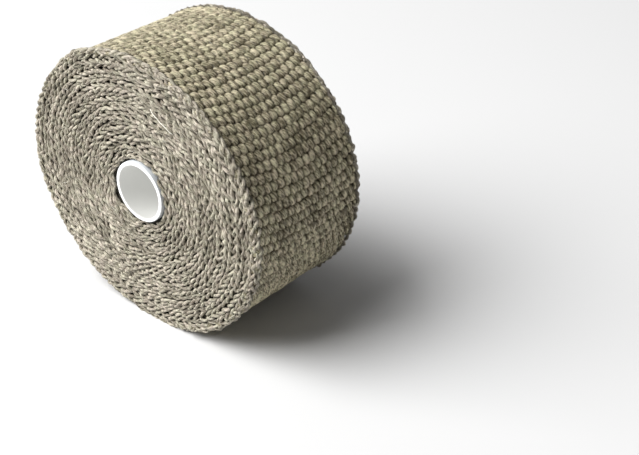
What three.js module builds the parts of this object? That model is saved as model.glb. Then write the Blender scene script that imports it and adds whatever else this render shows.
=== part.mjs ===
// Roll of woven exhaust heat wrap, wound on a plastic core tube.
// Millimetres, +Z up. The soft roll lies on its round side, a little flattened,
// with its axis along Y, and the origin is on the ground under its middle.

import * as THREE from "three";

// Driving dimensions

const tapeWidth = 50;         // along the roll's axis, over the crowns of the turns
const tapeThickness = 1.625;  // one turn, as it lies wound
const turnCount = 24;         // from the core to the outside
const edgeCrown = 0.6;        // depth of the groove between the edges of two turns

const coreDiameter = 21.4;    // outside of the tube
const coreWall = 1.5;
const coreProud = 0.8;        // how far the tube stands out of the wrap at each end
const coreChamfer = 0.25;     // on the four rims of the tube, at most a quarter of its wall
const coreClearance = 0.3;    // between the tube and the innermost turn

const slumpShare = 0.036;     // share of its radius that the outside spreads sideways and loses in height
const slumpDrop = 1.8;        // the outside's middle below the core's
const slumpAside = 1.5;       // and beside it, to -X

const roundSteps = 48;        // flat facets round both turned pieces

// What follows from them

const coreRadius = coreDiameter / 2;
const coreLength = tapeWidth + 2 * coreProud;
const boreRadius = coreRadius + coreClearance;
const rollRadius = boreRadius + turnCount * tapeThickness;
const halfStep = Math.PI / roundSteps;
const restHeight = rollRadius * (1 - slumpShare) * Math.cos(halfStep);  // it rests on a facet
const axisHeight = restHeight + slumpDrop;

// Turns a closed outline of radius and axial place about Y, with a facet straight down

function turned(outline) {
  return new THREE.LatheGeometry([...outline, outline[0].clone()], roundSteps, halfStep);
}

// Lets the wrap settle round its stiff core: its bore stays round, and each turn
// farther out spreads, flattens and shifts a little more

function settled(geometry) {
  const place = geometry.getAttribute("position");
  for (let i = 0; i < place.count; i += 1) {
    const x = place.getX(i);
    const z = place.getZ(i);
    const share = (Math.hypot(x, z) - boreRadius) / (rollRadius - boreRadius);
    place.setX(i, x * (1 + slumpShare * share) - slumpAside * share);
    place.setZ(i, z * (1 - slumpShare * share) - slumpDrop * share);
  }
  return geometry;
}

// The edges of the turns on one end of the roll, from the core outwards:
// a groove where two turns meet, and a crown on the middle of each turn

function turnEdges(side) {
  const crown = side * tapeWidth / 2;
  const groove = crown - side * edgeCrown;
  const edges = [new THREE.Vector2(boreRadius, groove)];
  for (let turn = 0; turn < turnCount; turn += 1) {
    const inside = boreRadius + turn * tapeThickness;
    edges.push(new THREE.Vector2(inside + tapeThickness / 2, crown));
    edges.push(new THREE.Vector2(inside + tapeThickness, groove));
  }
  return edges;
}

// The wound tape, one turned solid with its bore, as it has settled

function wrapRoll() {
  const outline = [...turnEdges(-1), ...turnEdges(1).reverse()];
  const fabric = new THREE.MeshStandardMaterial({ color: 0x8e8570, roughness: 0.95, metalness: 0 });
  return new THREE.Mesh(settled(turned(outline)), fabric);
}

// The core tube, with its flat ends proud of the wrap

function coreTube() {
  const outside = coreRadius;
  const inside = coreRadius - coreWall;
  const end = coreLength / 2;
  const rim = Math.min(coreChamfer, coreWall / 4);
  const outline = [
    new THREE.Vector2(inside, rim - end),
    new THREE.Vector2(inside + rim, -end),
    new THREE.Vector2(outside - rim, -end),
    new THREE.Vector2(outside, rim - end),
    new THREE.Vector2(outside, end - rim),
    new THREE.Vector2(outside - rim, end),
    new THREE.Vector2(inside + rim, end),
    new THREE.Vector2(inside, end - rim),
  ];
  const plastic = new THREE.MeshStandardMaterial({ color: 0xe9e9e7, roughness: 0.35, metalness: 0 });
  return new THREE.Mesh(turned(outline), plastic);
}

const roll = new THREE.Group();
const pieces = { wrap_roll: wrapRoll(), core_tube: coreTube() };
for (const [name, piece] of Object.entries(pieces)) {
  piece.name = name;
  piece.position.set(slumpAside, 0, axisHeight);
  roll.add(piece);
}

export default roll;
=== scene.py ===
import math
import random

import bmesh
import bpy
import numpy as np
from mathutils import Matrix, Vector


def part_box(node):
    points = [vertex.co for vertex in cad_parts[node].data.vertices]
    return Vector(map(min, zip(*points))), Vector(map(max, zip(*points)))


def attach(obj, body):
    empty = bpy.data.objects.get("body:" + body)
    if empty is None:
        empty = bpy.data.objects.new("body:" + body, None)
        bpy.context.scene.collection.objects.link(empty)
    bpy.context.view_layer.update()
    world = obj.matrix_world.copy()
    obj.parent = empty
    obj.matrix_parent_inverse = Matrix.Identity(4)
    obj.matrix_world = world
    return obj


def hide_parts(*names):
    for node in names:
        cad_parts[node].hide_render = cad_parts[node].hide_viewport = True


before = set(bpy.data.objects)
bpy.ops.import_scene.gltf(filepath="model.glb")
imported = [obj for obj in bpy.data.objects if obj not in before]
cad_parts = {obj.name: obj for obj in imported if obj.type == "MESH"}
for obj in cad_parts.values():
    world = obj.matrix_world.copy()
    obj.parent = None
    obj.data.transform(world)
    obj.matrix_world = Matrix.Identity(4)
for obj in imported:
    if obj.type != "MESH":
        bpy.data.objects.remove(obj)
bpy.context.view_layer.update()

mm = 0.001


# The roll, as the solids give it
rollLow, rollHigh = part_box("wrap_roll")
coreLow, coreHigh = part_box("core_tube")
halfSpread = (rollHigh[0] - rollLow[0]) / 2
halfHeight = (rollHigh[2] - rollLow[2]) / 2
roll = {
    "axisX": (coreLow[0] + coreHigh[0]) / 2,
    "axisHeight": (coreLow[2] + coreHigh[2]) / 2,
    "radius": (halfSpread + halfHeight) / 2 + 0.1 * mm,
    "halfWidth": (rollHigh[1] - rollLow[1]) / 2,
    "coreRadius": (coreHigh[0] - coreLow[0]) / 2,
    "coreHalfLength": (coreHigh[1] - coreLow[1]) / 2,
    "turns": 24,
    "coreGap": 0.3 * mm,
    "innerEnd": 0.62,                    # the tape begins this part of a turn before the core
    "innerSpare": 0.3,                   # room for its beginning, in turns
    "tailAngle": math.radians(263),      # where the tape ends, under the roll
    "restHeight": 0.35 * mm,             # below this the wrap is pressed flat on the ground
}
roll["boreRadius"] = roll["coreRadius"] + roll["coreGap"]
roll["turnPitch"] = (roll["radius"] - roll["boreRadius"]) / roll["turns"]
roll["lap"] = 0.8 * roll["turnPitch"]       # the free end's outside beyond the solids' radius

# How the soft roll has settled on the ground round its stiff core
slump = {
    "flatten": (halfSpread - halfHeight) / (halfSpread + halfHeight),   # the outside spreads and sinks
    "aside": (rollLow[0] + rollHigh[0]) / 2 - roll["axisX"],            # its middle against the core's
    "drop": roll["axisHeight"] - (rollLow[2] + rollHigh[2]) / 2,
    "innerShare": 0.3,         # how much of that the innermost turn follows
    "innerSlack": 0.15 * mm,   # room between the innermost turn and the core
    "hollow": 3.2 * mm,        # and more of it in front, low on one side
    "hollowAngle": math.radians(203),
    "hollowWidth": 4,          # the higher, the narrower
    "hollowWaves": 9,          # it is broken up into pockets
    "hollowWave": 0.4,
    "hug": 1.0 * mm,           # the innermost turn closes up on the core here
    "hugAngle": math.radians(105),
    "hugWidth": 2,
    "fade": 2.2,               # the higher, the fewer turns share in the slack
    "flare": 0.5 * mm,         # the rim stands out by this
    # by more or less where it has been knocked, in degrees, degrees of width and millimetres
    "knocks": ((117, 10, 0.75), (138, 13, -0.6), (190, 20, 0.65), (235, 18, 0.3)),
}


# Arrays and meshes

def pressed(z):
    # what would lie on or under the ground is pressed flat a little above it
    rest = roll["restHeight"]
    return np.where(z < rest, rest * np.exp(np.minimum(z - rest, 0) / rest), z)


def settle(radius, angle, along):
    # a place in the roll, as it lies on the ground
    span = roll["radius"] - roll["coreRadius"]
    share = np.clip((radius - roll["coreRadius"]) / span, 0.0, 1.1)
    follow = slump["innerShare"] + (1 - slump["innerShare"]) * share
    wave = slump["hollowWave"]
    toFront = 0.5 - 0.5 * along / roll["halfWidth"]
    hollow = slump["hollow"] * np.maximum(np.cos(angle - slump["hollowAngle"]), 0) ** slump["hollowWidth"]
    hollow = hollow * (1 - wave + wave * np.sin(angle * slump["hollowWaves"])) * toFront
    hug = slump["hug"] * np.maximum(np.cos(angle - slump["hugAngle"]), 0) ** slump["hugWidth"]
    slack = (slump["innerSlack"] + hollow - hug) * np.clip(1 - share * slump["fade"], 0.0, 1.0)
    grown = radius + slack
    flatten = slump["flatten"] * share
    x = roll["axisX"] + slump["aside"] * follow + grown * np.cos(angle) * (1 + flatten)
    z = roll["axisHeight"] - slump["drop"] * follow + grown * np.sin(angle) * (1 - flatten)
    return np.stack([x, along, pressed(z)], axis=-1)


def outerRadius(turnsBack):
    # outside of the tape, by how many turns back from its free end
    wound = (roll["turns"] - roll["innerSpare"]) * roll["turnPitch"] + roll["lap"]
    return roll["radius"] + roll["lap"] - wound / roll["turns"] * turnsBack


def flare(angle, side):
    # how far the wrap's edge stands out round its rim; the end in front has been knocked a little
    out = np.full_like(angle, slump["flare"])
    if side < 0:
        for at, width, extra in slump["knocks"]:
            apart = (np.degrees(angle) - at + 180) % 360 - 180
            out = out + extra * mm * np.exp(-(apart / width) ** 2)
    return out


def slowNoise(values, seed, waves=5, top=9):
    # smooth unevenness between -1 and 1 along a turning angle
    rng = random.Random(seed)
    total = np.zeros_like(values)
    for _ in range(waves):
        total = total + math.sqrt(1 / waves) * np.sin(rng.uniform(0.3, top) * values + rng.uniform(0, 6.28))
    return total


def masterLump(around, along, blunt=1.0):
    # one closed lump, its length along X, from -1 to 1 each way; blunt below 1 squares its ends
    bm = bmesh.new()
    bmesh.ops.create_uvsphere(bm, u_segments=around, v_segments=along, radius=1.0)
    bmesh.ops.rotate(bm, verts=bm.verts, cent=(0, 0, 0), matrix=Matrix.Rotation(math.pi / 2, 3, "Y"))
    bmesh.ops.recalc_face_normals(bm, faces=bm.faces)
    bm.verts.ensure_lookup_table()
    points = np.array([v.co[:] for v in bm.verts])
    ring = np.maximum(np.hypot(points[:, 1], points[:, 2]), 1e-6)
    points[:, 1:] *= (ring ** (blunt - 1))[:, None]
    faces = [[v.index for v in f.verts] for f in bm.faces]
    bm.free()
    return points, faces


def joinedMesh(name, points, faces, thread, paintedShade):
    # one object from arrays: points (n, 3) and faces as lists; thread is each point's place on its
    # yarn, across and along in millimetres, with the yarn's tone, and the last array how far painted shade
    # darkens each point where it lies deep
    mesh = bpy.data.meshes.new(name)
    corners = np.fromiter((i for f in faces for i in f), dtype=np.int32)
    sizes = np.fromiter((len(f) for f in faces), dtype=np.int32)
    mesh.vertices.add(len(points))
    mesh.vertices.foreach_set("co", np.ascontiguousarray(points, dtype=np.float32).ravel())
    mesh.loops.add(len(corners))
    mesh.loops.foreach_set("vertex_index", corners)
    mesh.polygons.add(len(sizes))
    mesh.polygons.foreach_set("loop_start", np.concatenate([[0], np.cumsum(sizes)[:-1]]).astype(np.int32))
    mesh.polygons.foreach_set("use_smooth", np.ones(len(sizes), dtype=bool))
    mesh.update(calc_edges=True)
    layer = mesh.attributes.new("thread", "FLOAT_VECTOR", "POINT")
    layer.data.foreach_set("vector", np.ascontiguousarray(thread, dtype=np.float32).ravel())
    layer = mesh.attributes.new("paintedShade", "FLOAT", "POINT")
    layer.data.foreach_set("value", np.ascontiguousarray(paintedShade, dtype=np.float32).ravel())
    mesh.validate()
    piece = bpy.data.objects.new(name, mesh)
    bpy.context.scene.collection.objects.link(piece)
    return piece


def revolved(outline, steps):
    # a closed outline of radius and axial place, turned about Y
    bm = bmesh.new()
    verts = [bm.verts.new((r, y, 0)) for r, y in outline]
    edges = [bm.edges.new((verts[i], verts[(i + 1) % len(verts)])) for i in range(len(verts))]
    bmesh.ops.spin(bm, geom=verts + edges, cent=(0, 0, 0), axis=(0, 1, 0), angle=2 * math.pi,
                   steps=steps, use_merge=True)
    bmesh.ops.remove_doubles(bm, verts=bm.verts, dist=1e-7)
    bmesh.ops.recalc_face_normals(bm, faces=bm.faces)
    return bm


def pieceFrom(bm, name):
    mesh = bpy.data.meshes.new(name)
    bm.to_mesh(mesh)
    bm.free()
    mesh.polygons.foreach_set("use_smooth", np.ones(len(mesh.polygons), dtype=bool))
    piece = bpy.data.objects.new(name, mesh)
    bpy.context.scene.collection.objects.link(piece)
    return piece


def turnOutward(piece):
    bm = bmesh.new()
    bm.from_mesh(piece.data)
    bmesh.ops.recalc_face_normals(bm, faces=bm.faces)
    bm.to_mesh(piece.data)
    bm.free()


def copies(faces, pointCount, count):
    # the faces of one lump, for each of its copies
    return [[i + k * pointCount for i in f] for k in range(count) for f in faces]


def threadPlaces(across, along, tone):
    # for each point of some lumps its place on its yarn, and the yarn's tone
    tone = np.broadcast_to(tone[:, None], along.shape)
    return np.stack([across / mm, along / mm, tone], axis=-1).reshape(-1, 3)


def dress(piece, material):
    piece.data.materials.append(material)
    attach(piece, "root")


# Materials

class Signal:
    # a socket that can be used in sums
    def __init__(self, sheet, socket):
        self.sheet = sheet
        self.socket = socket

    def maths(self, operation, first, second):
        return self.sheet.node("ShaderNodeMath", {"operation": operation}, {0: first, 1: second})

    def __add__(self, other):
        return self.maths("ADD", self, other)

    def __radd__(self, other):
        return self.maths("ADD", other, self)

    def __sub__(self, other):
        return self.maths("SUBTRACT", self, other)

    def __rsub__(self, other):
        return self.maths("SUBTRACT", other, self)

    def __mul__(self, other):
        return self.maths("MULTIPLY", self, other)

    def __rmul__(self, other):
        return self.maths("MULTIPLY", other, self)


class Sheet:
    # the node tree of one material
    def __init__(self, name):
        self.material = bpy.data.materials.new(name)
        self.material.use_nodes = True
        self.tree = self.material.node_tree
        self.shader = self.tree.nodes["Principled BSDF"]

    def node(self, kind, settings, values, output=0):
        made = self.tree.nodes.new(kind)
        for key, value in settings.items():
            setattr(made, key, value)
        for key, value in values.items():
            self.feed(made.inputs[key], value)
        return Signal(self, made.outputs[output])

    def objectPlace(self):
        return self.node("ShaderNodeTexCoord", {}, {}, output=3)

    def noise(self, place, scale, detail, roughness):
        return self.node("ShaderNodeTexNoise", {"noise_dimensions": "3D"},
                         {"Vector": place, "Scale": scale, "Detail": detail, "Roughness": roughness})

    def part(self, vector, output):
        return self.node("ShaderNodeSeparateXYZ", {}, {0: vector}, output=output)

    def relief(self, height, strength, distance):
        return self.node("ShaderNodeBump", {}, {"Strength": strength, "Distance": distance, "Height": height})

    def feed(self, socket, value):
        if isinstance(value, Signal):
            self.tree.links.new(value.socket, socket)
        else:
            socket.default_value = value

    def mixColours(self, share, first, second, blend="MIX"):
        return self.node("ShaderNodeMix", {"data_type": "RGBA", "blend_type": blend},
                         {0: share, 6: first, 7: second}, output=2)

    def finish(self, **values):
        for key, value in values.items():
            self.feed(self.shader.inputs[key.replace("_", " ")], value)
        return self.material


yarnLook = {
    "side": ((0.14, 0.117, 0.062, 1), (0.73, 0.66, 0.46, 1)),
    "edge": ((0.19, 0.165, 0.12, 1), (0.62, 0.57, 0.465, 1)),
    # painted shade: the colour the yarns are darkened towards where they lie deep
    "deep": (0.02, 0.015, 0.007, 1),
    "warm": (1.03, 0.985, 1.0, 1),
    "green": (0.98, 1.015, 0.96, 1),
    "paintedShadeShare": {"side": 0.9, "edge": 0.62},    # how far painted shade darkens the yarns where they dive
    "roughness": 0.45,
    "filament": {"side": (2.4, 0.5, 40.0), "edge": (2.9, 0.35, 40.0)},     # its scale across and along
    "lift": {"side": 1.0 * mm, "edge": 0.7 * mm},
    "contrast": {"side": 6.0, "edge": 3.8},
    "patchScale": 90.0,        # darker and lighter stretches of the tape
    "patchShare": 1.4,
    "toneShare": 0.5,          # each float's own tone
    "speckScale": 2600.0,
    "speckShare": 1.2,
    "castScale": 330.0,        # between the warm and the green cast
}


def yarnMaterial(name, part):
    # mineral fibre yarn: filaments along it, specks of light between them, and each float a little different
    sheet = Sheet(name)
    thread = sheet.node("ShaderNodeAttribute", {"attribute_name": "thread"}, {}, output=1)
    place = sheet.objectPlace()
    scale = yarnLook["filament"][part]
    across = sheet.node("ShaderNodeVectorMath", {"operation": "MULTIPLY"}, {0: thread, 1: scale})
    strands = sheet.noise(across, 1.0, 3.0, 0.65)
    patches = sheet.noise(place, yarnLook["patchScale"], 4.0, 0.65)
    tone = sheet.part(thread, 2)
    specks = sheet.noise(place, yarnLook["speckScale"], 2.0, 0.6)
    shift = (patches - 0.5) * yarnLook["patchShare"] + (tone - 0.5) * yarnLook["toneShare"]
    shift = shift + (strands - 0.5) * yarnLook["contrast"][part]
    shift = shift + (specks - 0.5) * yarnLook["speckShare"] + 0.5
    hue = sheet.mixColours(sheet.node("ShaderNodeClamp", {}, {0: shift}), *yarnLook[part])
    casts = sheet.noise(place, yarnLook["castScale"], 2.0, 0.6)
    castShare = sheet.node("ShaderNodeMapRange", {}, {0: casts, 1: 0.35, 2: 0.65})
    cast = sheet.mixColours(castShare, yarnLook["warm"], yarnLook["green"])
    hue = sheet.mixColours(1.0, hue, cast, "MULTIPLY")
    # painted shade: the yarn darkens towards the deep colour where the attribute of painted shade says it
    # lies deep, in crevices, at its ends and underneath
    paintedShade = sheet.node("ShaderNodeAttribute", {"attribute_name": "paintedShade"}, {}, output=2)
    hue = sheet.mixColours(paintedShade * yarnLook["paintedShadeShare"][part], hue, yarnLook["deep"])
    relief = sheet.relief(strands, 0.9, yarnLook["lift"][part])
    return sheet.finish(Base_Color=hue, Roughness=yarnLook["roughness"], Normal=relief)


def groundMaterial():
    # painted shade: the inside of the wrap, painted nearly black for the shade between the yarns
    sheet = Sheet("wrap_ground_painted_shade")
    patches = sheet.noise(sheet.objectPlace(), 900.0, 3.0, 0.6)
    hue = sheet.mixColours(patches, (0.02, 0.017, 0.011, 1), (0.06, 0.052, 0.036, 1))
    return sheet.finish(Base_Color=hue, Roughness=0.9, Normal=sheet.relief(patches, 0.6, 0.2 * mm))


def fibreMaterial():
    sheet = Sheet("stray_fibres")
    glints = sheet.noise(sheet.objectPlace(), 1200.0, 3.0, 0.6)
    hue = sheet.mixColours(glints, (0.66, 0.62, 0.52, 1), (0.88, 0.86, 0.78, 1))
    relief = sheet.relief(glints, 0.4, 0.1 * mm)
    return sheet.finish(Base_Color=hue, Roughness=glints * 0.2 + 0.4, Normal=relief)


coreLook = {
    # painted shade: the bore is the same white plastic as the rim, painted grey for the shade inside the tube
    "bore": (0.19, 0.19, 0.18, 1),
    "boreLight": (0.23, 0.23, 0.22, 1),
    "rim": (0.92, 0.92, 0.92, 1),
    # painted shade: the outside of the core is painted bluish grey for the shade on its outer wall
    "outside": (0.52, 0.54, 0.56, 1),
    "boreGlow": (0.38, 0.38, 0.36, 1),     # painted light: an emission standing in for light that the plastic lets through
    "deepGlow": (0.05, 0.05, 0.05, 1),     # painted light farther back, dimmer
    "glowEnd": -9.0 * mm,
    # painted light: the rim glows a little too
    "rimGlow": (0.12, 0.12, 0.12, 1),
}


def coreMaterial():
    # white at the rim, with painted shade in the bore (grey) and on the outside (bluish grey), and a painted
    # glow in the bore
    sheet = Sheet("core_plastic")
    place = sheet.objectPlace()
    flow = sheet.noise(place, 160.0, 4.0, 0.5)
    aside = sheet.part(place, 0) - roll["axisX"]
    above = sheet.part(place, 2) - roll["axisHeight"]
    radius = sheet.node("ShaderNodeMath", {"operation": "SQRT"}, {0: aside * aside + above * above})
    inside = roll["coreRadius"] - core["wall"]
    deep = sheet.node("ShaderNodeMapRange", {},
                      {0: radius, 1: inside + 0.15 * mm, 2: inside + 0.35 * mm, 3: 1.0, 4: 0.0})
    # painted shade: grey in the bore, white at the rim
    bore = sheet.mixColours(flow, coreLook["bore"], coreLook["boreLight"])
    hue = sheet.mixColours(deep, coreLook["rim"], bore)
    # painted light: the glow in the bore fades from the front towards the back, and the rim gets a fainter
    # one
    glowEnd = coreLook["glowEnd"]
    dim = sheet.node("ShaderNodeMapRange", {}, {0: sheet.part(place, 1), 1: glowEnd, 2: -glowEnd})
    glow = sheet.mixColours(dim, coreLook["boreGlow"], coreLook["deepGlow"])
    glow = sheet.mixColours(deep, coreLook["rimGlow"], glow)
    # painted shade: bluish grey on the outer wall, where no glow is painted
    outer = sheet.node("ShaderNodeMapRange", {},
                       {0: radius, 1: roll["coreRadius"] - 0.2 * mm, 2: roll["coreRadius"] - 0.05 * mm})
    hue = sheet.mixColours(outer, hue, coreLook["outside"])
    glow = sheet.mixColours(outer, glow, (0, 0, 0, 1))
    relief = sheet.relief(flow, 0.12, 0.2 * mm)
    # the painted glow is given as emission
    return sheet.finish(Base_Color=hue, Roughness=flow * 0.12 + 0.3, Normal=relief,
                        Emission_Color=glow, Emission_Strength=1.0)


# The plain weave of thick warp yarns on the round side

weave = {
    "rows": 92,                # picks round the outermost turn
    "yarns": 34,               # warp yarns across the tape
    "inset": 0.9 * mm,         # from the ends of the roll, where the rim's loops lie
    "bow": 3.2 * mm,           # how far the middle of a pick trails its ends
    "cover": 0.94,             # float width against its room
    "reach": 1.27,             # float length against the pick spacing
    "blunt": 0.42,             # how square its ends are
    "twist": 0.45,             # how steeply its filaments wind round it
    "lean": -0.03,             # how far a float leans across the tape, against its length
    "height": 1.0 * mm,        # thickness of a float
    "tuck": 0.85 * mm,         # how far its ends dive
    "dive": 3.0,               # how suddenly
    "square": (0.9, 0.56, 0.7),         # its outline along, across and upwards, 1 for round, lower for square
    "evenLong": (0.95, 1.07),  # the floats' own lengths, widths, heights and tucks
    "evenWide": (0.94, 1.06),
    "evenTall": (0.85, 1.1),
    "evenTuck": (0.85, 1.15),
    "evenLean": 0.045,
    "evenRow": 0.0005,         # how far a float is out of its row, in turns
    "low": 0.13 * mm,          # how far the lowest one lies below the others
    "cornerFrom": 0.92,        # the weave falls off towards the rim from here
    "cornerDrop": 0.7 * mm,
    "around": 10,              # facets of a float
    "along": 7,
    "seed": 7,
}


def sideWeave(material):
    rng = np.random.default_rng(weave["seed"])
    lump, faces = masterLump(weave["around"], weave["along"], weave["blunt"])
    faces = [f[::-1] for f in faces]
    spacing = 2 * math.pi / weave["rows"]
    halfWeave = roll["halfWidth"] - weave["inset"]
    room = 2 * halfWeave / weave["yarns"]
    rows, yarns = np.meshgrid(np.arange(weave["rows"]), np.arange(weave["yarns"]), indexing="ij")
    up = (rows + yarns) % 2 == 0
    rows, yarns = rows[up].astype(float), yarns[up].astype(float)
    count = len(rows)
    axial = (yarns + 0.5) * room - halfWeave
    inside = 1 - (axial / halfWeave) ** 2
    turnsBack = (rows + 0.5) / weave["rows"] + rng.normal(0, weave["evenRow"], count)
    arc = roll["radius"]
    # a float's own length, width and height
    long = spacing * arc * weave["reach"] / 2 * rng.uniform(*weave["evenLong"], count)
    wide = room * weave["cover"] * rng.uniform(*weave["evenWide"], count)
    tall = weave["height"] * rng.uniform(*weave["evenTall"], count)
    lean = rng.normal(weave["lean"], weave["evenLean"], count)
    sink = weave["tuck"] * rng.uniform(*weave["evenTuck"], count)
    low = rng.uniform(0, weave["low"], count)
    # the lump as a pillow: blunt along and across, flat below
    bluntAlong, bluntAcross, bluntUp = weave["square"]
    along = np.sign(lump[:, 0]) * np.abs(lump[:, 0]) ** bluntAlong
    across = np.sign(lump[:, 1]) * np.abs(lump[:, 1]) ** bluntAcross
    rise = np.where(lump[:, 2] > 0, np.abs(lump[:, 2]) ** bluntUp, -0.5 * np.abs(lump[:, 2]))
    s = along[None] * long[:, None]
    y = across[None] * wide[:, None] + axial[:, None] + lean[:, None] * s
    drop = (np.abs(along[None]) ** weave["dive"]) * sink[:, None] + low[:, None]
    height = rise[None] * tall[:, None] - drop
    bow = weave["bow"] * inside[:, None]
    back = turnsBack[:, None] + (s - bow) / (2 * math.pi * arc)
    toRim = (np.abs(y) / halfWeave - weave["cornerFrom"]) / (1 - weave["cornerFrom"])
    corner = np.clip(toRim, 0, 1.3) ** 2 * weave["cornerDrop"]
    radius = outerRadius(back) - weave["height"] + height - corner
    angle = roll["tailAngle"] + 2 * math.pi * back
    nearRim = np.clip(np.abs(y) / halfWeave * 4 - 3, 0, 1) ** 2
    radius = radius + np.where(y < 0, flare(angle, -1), flare(angle, 1)) * nearRim
    points = settle(radius, angle, y).reshape(-1, 3)
    tone = rng.uniform(0, 1, count)
    thread = threadPlaces(y + weave["twist"] * s, s, tone)
    # painted shade: the sides, ends and underside of each float are darkened, as they lie in the dark
    deep = np.maximum(np.abs(along) ** 5, np.maximum(np.abs(lump[:, 1]) ** 3.5, lump[:, 2] < -0.1))
    paintedShade = np.broadcast_to(deep[None], s.shape)
    piece = joinedMesh("side_weave", points, copies(faces, len(lump), count), thread, paintedShade)
    dress(piece, material)


tail = {
    "half": (1.1 * mm, 0.7 * mm, 0.45 * mm),
    "evenLong": (0.7, 1.2),
    "out": 0.7,                # how far a stub stands out, in half lengths
    "splay": 0.25,
    "droop": 0.3,
    "seed": 15,
}


def tailStubs(material):
    # the cut ends of the warp yarns, where the tape ends under the roll
    rng = np.random.default_rng(tail["seed"])
    lump, faces = masterLump(8, 6)
    faces = [f[::-1] for f in faces]
    count = weave["yarns"]
    halfWeave = roll["halfWidth"] - weave["inset"]
    long, wide, tall = tail["half"]
    axial = (np.arange(count) + 0.5) * 2 * halfWeave / count - halfWeave
    size = rng.uniform(*tail["evenLong"], count)[:, None]
    s = (lump[None, :, 0] - tail["out"]) * long * size
    y = lump[None, :, 1] * wide + axial[:, None] + s * rng.normal(0, tail["splay"], count)[:, None]
    radius = roll["radius"] + roll["lap"] - weave["height"] + lump[None, :, 2] * tall + s * tail["droop"]
    angle = roll["tailAngle"] + s / roll["radius"]
    points = settle(radius, angle, y).reshape(-1, 3)
    thread = threadPlaces(y, s, rng.uniform(0, 1, count))
    piece = joinedMesh("tail_stubs", points, copies(faces, len(lump), count), thread, np.zeros(len(points)))
    dress(piece, material)


# The two edges of the tape, which show as rings on the ends of the roll

edge = {
    "pick": 3.38 * mm,         # spacing of the picks along the tape
    "swing": 0.50 * mm,        # how far the edge yarns wander from the middle of the turn
    "twist": 0.42 * mm,        # how far they pass before and behind each other
    "strandHalf": (0.48 * mm, 0.52 * mm),   # half thickness, along the radius and the axis
    "swellShare": 0.26,        # how much thicker a yarn is where it lies in front
    "roughTurns": 4.5,         # the outermost turns are looser
    "steps": 6,                # for each pick
    "sides": 6,
    "depth": 0.95 * mm,        # middle of the edge yarns behind the roll's end
    "drift": 0.10,             # how far a crossing is out of place, in picks
    "evenSwing": (0.7, 1.25),
    "loose": 0.4,              # how much wider the yarns swing in the loose turns
    "stand": (0.13 * mm, 0.2 * mm),     # how unevenly they stand out, and how much more in the loose turns
    "aside": 0.12 * mm,        # how unevenly along the radius
    "waver": 0.07 * mm,
    "swell": 0.2 * mm,         # slow unevenness of the whole end
    "rounded": 0.7 * mm,       # how far the outermost turn falls back
    "roundedTurns": 0.9,
    "flareTurns": 3,           # the rim's flare is gone this many turns in
    "filaments": 3.2,          # round a yarn
    "seed": 21,
}


def spiralPath():
    # places along the whole tape, a few for each pick: turns back from the free end, and length
    back = [0.0]
    length = [0.0]
    step = edge["pick"] / edge["steps"]
    while back[-1] < roll["turns"] - roll["innerEnd"]:
        radius = outerRadius(back[-1]) - roll["turnPitch"] / 2
        back.append(back[-1] + step / (2 * math.pi * radius))
        length.append(length[-1] + step)
    return np.array(back), np.array(length)


def sweptStrand(centres, outward, axial, half, sides, thick):
    # a closed tube through the centres: outward and axial are the section's two directions
    count = len(centres)
    turn = np.arange(sides) * 2 * math.pi / sides
    ring = (np.cos(turn)[None, :, None] * half[0] * outward[:, None] +
            np.sin(turn)[None, :, None] * half[1] * axial[:, None]) * thick[:, None, None]
    points = (centres[:, None] + ring).reshape(-1, 3)
    faces = []
    for k in range(count - 1):
        for i in range(sides):
            j = (i + 1) % sides
            faces.append([k * sides + i, k * sides + j, (k + 1) * sides + j, (k + 1) * sides + i])
    faces.append(list(range(sides))[::-1])
    faces.append([(count - 1) * sides + i for i in range(sides)])
    return points, faces


def endSwell(back, side):
    # slow unevenness of one whole end, between -1 and 1
    return slowNoise(back * 2 * math.pi, edge["seed"] + 5 + side, waves=7, top=5)


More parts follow.
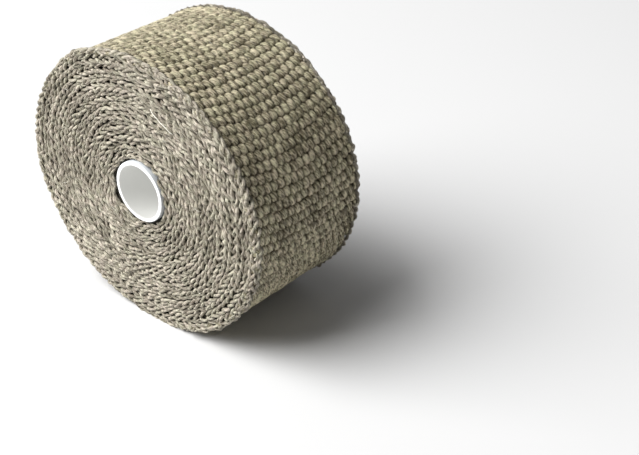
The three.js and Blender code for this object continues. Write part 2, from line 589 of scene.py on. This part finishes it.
def edgeStrands(side, end, phase, name, material):
    back, length = spiralPath()
    radius = outerRadius(back) - roll["turnPitch"] / 2
    picks = length / edge["pick"]
    rng = np.random.default_rng(edge["seed"] + 10 * side + int(phase))
    knots = np.arange(0, picks[-1] + 3)

    def atPicks(values):
        return np.interp(picks, knots, values)

    drift = atPicks(rng.normal(0, edge["drift"], len(knots)))
    loosened = 0.75 + 0.5 * slowNoise(back * 5, 4, waves=5, top=2)
    rough = np.clip(1 - back / edge["roughTurns"], 0, 1) * loosened
    swing = edge["swing"] * atPicks(rng.uniform(*edge["evenSwing"], len(knots))) * (1 + edge["loose"] * rough)
    standTight, standLoose = edge["stand"]
    stand = (standTight + standLoose * rough) * atPicks(rng.normal(0, 1, len(knots)))
    aside = edge["aside"] * atPicks(rng.normal(0, 1, len(knots)))
    # here and there the other yarn is the one in front
    handed = np.clip(slowNoise(back * 9, edge["seed"] + 8, waves=6, top=4) * 2.5 + 0.7, -1, 1)
    wave = (picks + drift) * math.pi + phase
    before = np.sin(wave) * handed
    uneven = slowNoise(back * 40, edge["seed"] + side, waves=9, top=2.4)
    radial = radius + swing * np.cos(wave) + edge["waver"] * uneven + aside
    rounded = edge["rounded"] * np.clip(1 - back / edge["roundedTurns"], 0, 1) ** 0.7
    axial = roll["halfWidth"] - edge["depth"] + edge["swell"] * endSwell(back, side) + stand
    axial = axial + edge["twist"] * before - rounded
    angle = roll["tailAngle"] + 2 * math.pi * back
    radial = radial + flare(angle, side) * np.clip(1 - back / edge["flareTurns"], 0, 1)
    centres = settle(radial, angle, side * axial)
    outer = settle(radial + 0.1 * mm, angle, side * axial)
    outward = outer - centres
    outward = outward / np.linalg.norm(outward, axis=1)[:, None]
    across = np.zeros_like(outward)
    across[:, 1] = side
    thick = (1 + edge["swellShare"] * before) * (1 + 0.1 * rough)
    sides = edge["sides"]
    points, faces = sweptStrand(centres, outward, across, edge["strandHalf"], sides, thick)
    points[:, 2] = pressed(points[:, 2])
    around = np.tile(np.arange(sides) / sides * edge["filaments"], len(centres))
    along = np.repeat(length / mm, sides)
    strokes = rng.uniform(0, 1, len(knots) + 1)
    tone = np.repeat(strokes[np.floor(picks + drift + 0.5).astype(int)], sides)
    # painted shade: dark where a yarn passes behind, and on its side towards the inside of the roll
    behind = np.clip(0.2 - 0.75 * before, 0, 1)[:, None]
    inner = np.clip(-1.2 * np.sin(np.arange(sides) * 2 * math.pi / sides), 0, 1)[None, :]
    thread = np.stack([around, along, tone], axis=-1)
    piece = joinedMesh(f"{end}_{name}", points, faces, thread, np.maximum(behind, inner))
    turnOutward(piece)
    dress(piece, material)


# The weft comes round the edge at each pick, as a short slanted stroke
loops = {
    "half": (1.75 * mm, 0.36 * mm, 0.42 * mm),     # along the turn, along the radius and the axis
    "share": 0.5,              # how many of them show
    "drift": 0.12,             # how far one is out of place, in picks
    "evenSize": (0.85, 1.15),
    "tilt": math.radians(17),
    "evenTilt": 0.5,
    "taper": 0.35,
    "bow": 0.42 * mm,          # how far its ends fall back
    "aside": 0.06 * mm,
    "swell": 0.22 * mm,
    "filaments": 1.2,
    "seed": 30,
}


def tilted(along, across, tilt):
    # each lump in its own direction
    cosine = np.cos(tilt)[:, None]
    sine = np.sin(tilt)[:, None]
    return along * cosine - across * sine, along * sine + across * cosine


def edgeLoops(side, end, material):
    rng = np.random.default_rng(loops["seed"] + 3 * side)
    lump, faces = masterLump(6, 6)
    back, length = spiralPath()
    picks = np.arange(0.5, length[-1] / edge["pick"] - 0.5, 1.0)
    picks = picks[rng.uniform(0, 1, len(picks)) < loops["share"]]
    picks = picks + rng.normal(0, loops["drift"], len(picks))
    backAt = np.interp(picks * edge["pick"], length, back)
    count = len(picks)
    swell = np.interp(backAt, back, endSwell(back, side))
    long, thick, deep = loops["half"]
    size = rng.uniform(*loops["evenSize"], count)
    # two in three lean one way
    tilt = loops["tilt"] * rng.normal(1.0, loops["evenTilt"], count) * rng.choice([1, 1, -1], count)
    along = np.sign(lump[:, 0]) * np.abs(lump[:, 0]) ** 0.9
    s = along[None] * long * size[:, None]
    r = lump[None, :, 1] * thick * (1 - loops["taper"] * along[None] ** 2)
    y = lump[None, :, 2] * deep - along[None] ** 2 * loops["bow"]
    s, r = tilted(s, r, tilt)
    middle = (outerRadius(backAt) - roll["turnPitch"] / 2)[:, None]
    radial = middle + r + rng.normal(0, loops["aside"], count)[:, None]
    axial = roll["halfWidth"] - deep + loops["swell"] * swell[:, None] + y
    angle = roll["tailAngle"] + 2 * math.pi * backAt[:, None] + s / middle
    points = settle(radial, angle, side * axial).reshape(-1, 3)
    around = np.broadcast_to(lump[None, :, 1] * loops["filaments"] * mm, s.shape)
    thread = threadPlaces(around, s, rng.uniform(0, 1, count))
    if side < 0:
        faces = [f[::-1] for f in faces]
    # painted shade: each stroke darkens towards its ends
    paintedShade = np.broadcast_to(np.abs(lump[None, :, 0]) ** 4, s.shape)
    piece = joinedMesh(f"{end}_edge_loops", points, copies(faces, len(lump), count), thread, paintedShade)
    dress(piece, material)


# The rim, where the weft of the outermost turn comes round the corner of the roll

rim = {
    "corner": 1.05 * mm,       # radius of the roll's soft corner
    "half": (1.9 * mm, 0.72 * mm, 0.6 * mm),       # along the rim, across it and outwards
    "endWidth": 0.8,           # the loop nearer the end is narrower
    "place": (-0.35 * mm, 1.15 * mm),   # the two loops of a pick, round the corner from its middle
    "bow": 0.6 * mm,           # how far the ends of a loop fall back
    "tilt": math.radians(33),
    "evenTilt": 0.35,
    "evenSize": (0.75, 1.2),
    "evenBack": 0.0006,        # turns
    "evenPlace": 0.2 * mm,
    "evenOut": 0.14 * mm,
    "seed": 61,
}


def rimLoops(side, end, material):
    # two slanted loops a pick, leaning opposite ways, one nearer the side and one nearer the end
    rng = np.random.default_rng(rim["seed"] + side)
    lump, faces = masterLump(8, 7, 0.8)
    if side > 0:
        faces = [f[::-1] for f in faces]
    count = 2 * weave["rows"]
    nearSide = np.arange(count) % 2 == 0
    back = (np.arange(count) + 0.5) / count + rng.normal(0, rim["evenBack"], count)
    size = rng.uniform(*rim["evenSize"], count)
    long, wide, tall = rim["half"]
    tilt = rim["tilt"] * rng.normal(1, rim["evenTilt"], count) * np.where(nearSide, 1, -1)
    s = lump[None, :, 0] * long * size[:, None]
    c = lump[None, :, 1] * wide * size[:, None] * np.where(nearSide, 1.0, rim["endWidth"])[:, None]
    rise = lump[None, :, 2] * tall - lump[None, :, 0] ** 2 * rim["bow"]
    s, c = tilted(s, c, tilt)
    c = c + np.where(nearSide, *rim["place"])[:, None] + rng.normal(0, rim["evenPlace"], count)[:, None]
    corner = rim["corner"]
    # round the corner, and straight on along the side and down the end
    turned = np.clip(c / corner + math.pi / 4, 0, math.pi / 2)
    past = c / corner + math.pi / 4 - turned
    out = corner - tall + rise + rng.normal(0, rim["evenOut"], count)[:, None]
    middle = outerRadius(back)[:, None] - corner
    radial = middle + out * np.cos(turned) - np.maximum(past, 0) * corner
    axial = roll["halfWidth"] - corner + out * np.sin(turned) + np.minimum(past, 0) * corner
    angle = roll["tailAngle"] + 2 * math.pi * back[:, None] + s / roll["radius"]
    radial = radial + flare(angle, side)
    points = settle(radial, angle, side * axial).reshape(-1, 3)
    thread = threadPlaces(c, s, rng.uniform(0, 1, count))
    # painted shade: each loop darkens towards its ends and sides
    deep = np.maximum(np.abs(lump[:, 0]) ** 4, np.abs(lump[:, 1]) ** 5)
    paintedShade = np.broadcast_to(deep[None], s.shape)
    piece = joinedMesh(f"{end}_rim_loops", points, copies(faces, len(lump), count), thread, paintedShade)
    dress(piece, material)


# Fine fibres that stand off the weave, and the one loose thread on the front

fibres = {
    "count": 90,               # every third one is on an end
    "radius": 0.05 * mm,
    "length": (1.5 * mm, 4.5 * mm),
    "bend": 1.2,               # how far its heading turns at most, in radians
    "rise": (0.1 * mm, 0.5 * mm),
    "under": math.pi + 1.0,    # none lies beyond this angle, under the roll
    "steps": 7,
    "sides": 4,
    "seed": 77,
}

# The loose thread: degrees round the core, and millimetres from its axis
loose = {
    "places": ((76.5, 32.9), (72.2, 32.2), (67.0, 31.6), (61.9, 31.65), (57.0, 31.4)),
    "radius": 0.15 * mm,
    "proud": 0.25 * mm,        # its middle stands out of the end, and its two ends dive
    "dive": 0.7 * mm,
    "steps": 25,
    "sides": 6,
}


def tube(centres, radius, sides):
    # a closed round tube along any line
    ahead = np.gradient(centres, axis=0)
    ahead = ahead / np.linalg.norm(ahead, axis=1)[:, None]
    first = np.cross(ahead, [0.31, 0.87, 0.39])
    first = first / np.linalg.norm(first, axis=1)[:, None]
    second = np.cross(ahead, first)
    return sweptStrand(centres, first, second, (radius, radius), sides, np.ones(len(centres)))


def looseThread():
    angles, radii = np.array(loose["places"]).T
    fine = np.linspace(0, 1, loose["steps"])
    knots = np.linspace(0, 1, len(angles))
    angles = np.radians(np.interp(fine, knots, angles))
    radii = np.interp(fine, knots, radii) * mm
    proud = roll["halfWidth"] + loose["proud"] - loose["dive"] * (2 * fine - 1) ** 6
    x = radii * np.cos(angles) + roll["axisX"]
    z = radii * np.sin(angles) + roll["axisHeight"]
    return tube(np.stack([x, -proud, z], axis=-1), loose["radius"], loose["sides"])


def strayFibres(material):
    rng = np.random.default_rng(fibres["seed"])
    tubes = []
    for k in range(fibres["count"]):
        length = rng.uniform(*fibres["length"])
        along = np.linspace(0, 1, fibres["steps"])
        angle = rng.uniform(math.pi - fibres["under"], fibres["under"])
        turnAt = rng.uniform(0, 2 * math.pi)
        heading = turnAt + rng.uniform(-fibres["bend"], fibres["bend"]) * along
        step = length / fibres["steps"]
        p = np.cumsum(np.cos(heading)) * step
        q = np.cumsum(np.sin(heading)) * step
        rise = np.sin(along * math.pi * rng.uniform(0.6, 1.0)) * rng.uniform(*fibres["rise"])
        if k % 3 == 0:
            side = -1 if k % 2 else 1
            radius = rng.uniform(roll["coreRadius"] + 4 * mm, roll["radius"] - 3 * mm) + q
            centres = settle(radius, angle + p / radius, side * (roll["halfWidth"] - 0.2 * mm + rise))
        else:
            axial = rng.uniform(-0.9, 0.9) * roll["halfWidth"] + q
            axial = np.clip(axial, -roll["halfWidth"], roll["halfWidth"])
            radius = roll["radius"] - 0.4 * mm + rise
            centres = settle(radius, angle + p / roll["radius"], axial)
        tubes.append(tube(centres, fibres["radius"], fibres["sides"]))
    tubes.append(looseThread())
    allFaces = []
    start = 0
    for points, faces in tubes:
        allFaces += [[i + start for i in f] for f in faces]
        start += len(points)
    points = np.concatenate([points for points, faces in tubes])
    thread = np.full((len(points), 3), 0.5)
    piece = joinedMesh("stray_fibres", points, allFaces, thread, np.zeros(len(points)))
    turnOutward(piece)
    dress(piece, material)


# The inside of the wrap, painted nearly black for the shade seen between the yarns

ground = {
    "steps": 144,
    "skin": 1.5 * mm,          # how far it lies below the round side
    "depth": 1.5 * mm,         # and below the ends
    "groove": 0.4 * mm,        # deeper between two turns
}


def wrapGround(material):
    deep = ground["depth"] + ground["groove"]
    pitch = roll["turnPitch"]
    profile = []
    for turn in range(roll["turns"]):
        inner = roll["boreRadius"] + turn * pitch
        profile.append((inner, deep))
        profile.append((inner + pitch / 2, ground["depth"]))
    profile.append((roll["radius"] - ground["skin"], deep))
    outline = [(r, d - roll["halfWidth"]) for r, d in profile]
    outline += [(r, roll["halfWidth"] - d) for r, d in reversed(profile)]
    bm = revolved(outline, ground["steps"])
    for v in bm.verts:
        radius = math.hypot(v.co.x, v.co.z)
        angle = math.atan2(v.co.z, v.co.x)
        v.co = Vector(settle(np.float64(radius), np.float64(angle), np.float64(v.co.y)))
    piece = pieceFrom(bm, "wrap_ground_painted_shade")
    dress(piece, material)
    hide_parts("wrap_roll")


# The core

core = {
    "wall": 1.5 * mm,
    "steps": 96,
    "bevel": 0.3 * mm,
    "segments": 3,
}


def coreSleeve(material):
    inside = roll["coreRadius"] - core["wall"]
    outside = roll["coreRadius"]
    half = roll["coreHalfLength"]
    bm = revolved([(inside, -half), (outside, -half), (outside, half), (inside, half)], core["steps"])
    rims = [e for e in bm.edges if len(e.link_faces) == 2 and e.calc_face_angle(0) > 1.0]
    bmesh.ops.bevel(bm, geom=rims, offset=core["bevel"], offset_type="OFFSET", segments=core["segments"],
                    profile=0.5, affect="EDGES", material=-1, clamp_overlap=True)
    bmesh.ops.translate(bm, verts=bm.verts, vec=(roll["axisX"], 0, roll["axisHeight"]))
    piece = pieceFrom(bm, "core_sleeve")
    dress(piece, material)
    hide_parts("core_tube")


# Camera, floor and lights

view = {
    "azimuth": math.radians(40.63),
    "elevation": math.radians(32.02),
    "distance": 390.1 * mm,
    "target": (roll["axisX"] + 55.0 * mm, 0.0, 46.58 * mm),
    "focalPixels": 1242.4,
    "imageWidth": 639,
    "sensor": 36.0,
}


def placeCamera():
    data = bpy.data.cameras.new("camera")
    data.sensor_width = view["sensor"]
    data.lens = view["focalPixels"] * view["sensor"] / view["imageWidth"]
    data.clip_start = 0.01
    data.clip_end = 20
    camera = bpy.data.objects.new("camera", data)
    flat = math.cos(view["elevation"])
    away = Vector((math.sin(view["azimuth"]) * flat,
                   -math.cos(view["azimuth"]) * flat,
                   math.sin(view["elevation"])))
    target = Vector(view["target"])
    camera.location = target + away * view["distance"]
    camera.rotation_euler = (-away).to_track_quat("-Z", "Y").to_euler()
    bpy.context.scene.collection.objects.link(camera)
    bpy.context.scene.camera = camera


def makeFloor():
    bm = bmesh.new()
    bmesh.ops.create_grid(bm, x_segments=1, y_segments=1, size=3.0)
    floor = pieceFrom(bm, "floor")
    sheet = Sheet("floor")
    floor.data.materials.append(sheet.finish(Base_Color=(0.62, 0.62, 0.62, 1), Roughness=0.9))


lights = {
    "key": {"place": (-0.95, -1.13, 1.68), "size": 1.9, "power": 119.0},
    "world": 0.17,
}


def placeLight(name, place, size, power):
    data = bpy.data.lights.new(name, "AREA")
    data.shape = "SQUARE"
    data.size = size
    data.energy = power
    light = bpy.data.objects.new(name, data)
    light.location = place
    aim = Vector((0, 0, roll["axisHeight"])) - Vector(place)
    light.rotation_euler = aim.to_track_quat("-Z", "Y").to_euler()
    bpy.context.scene.collection.objects.link(light)


def lightScene():
    placeLight("key", **lights["key"])
    world = bpy.data.worlds.new("studio")
    world.use_nodes = True
    world.node_tree.nodes["Background"].inputs["Color"].default_value = (1, 1, 1, 1)
    world.node_tree.nodes["Background"].inputs["Strength"].default_value = lights["world"]
    bpy.context.scene.world = world
    bpy.context.scene.view_settings.view_transform = "Standard"


placeCamera()
print("camera placed")
edgeYarn = yarnMaterial("edge_yarn", "edge")
wrapGround(groundMaterial())
print("inside of the wrap made")
sideWeave(yarnMaterial("side_yarn", "side"))
tailStubs(edgeYarn)
print("side woven")
for end, side in (("front", -1), ("back", 1)):
    edgeStrands(side, end, 0.0, "edge_yarn_a", edgeYarn)
    edgeStrands(side, end, math.pi, "edge_yarn_b", edgeYarn)
    edgeLoops(side, end, edgeYarn)
    rimLoops(side, end, edgeYarn)
    print(end, "edges of the turns made")
strayFibres(fibreMaterial())
print("stray fibres made")
coreSleeve(coreMaterial())
print("core made")
makeFloor()
lightScene()
print("floor and lights placed")
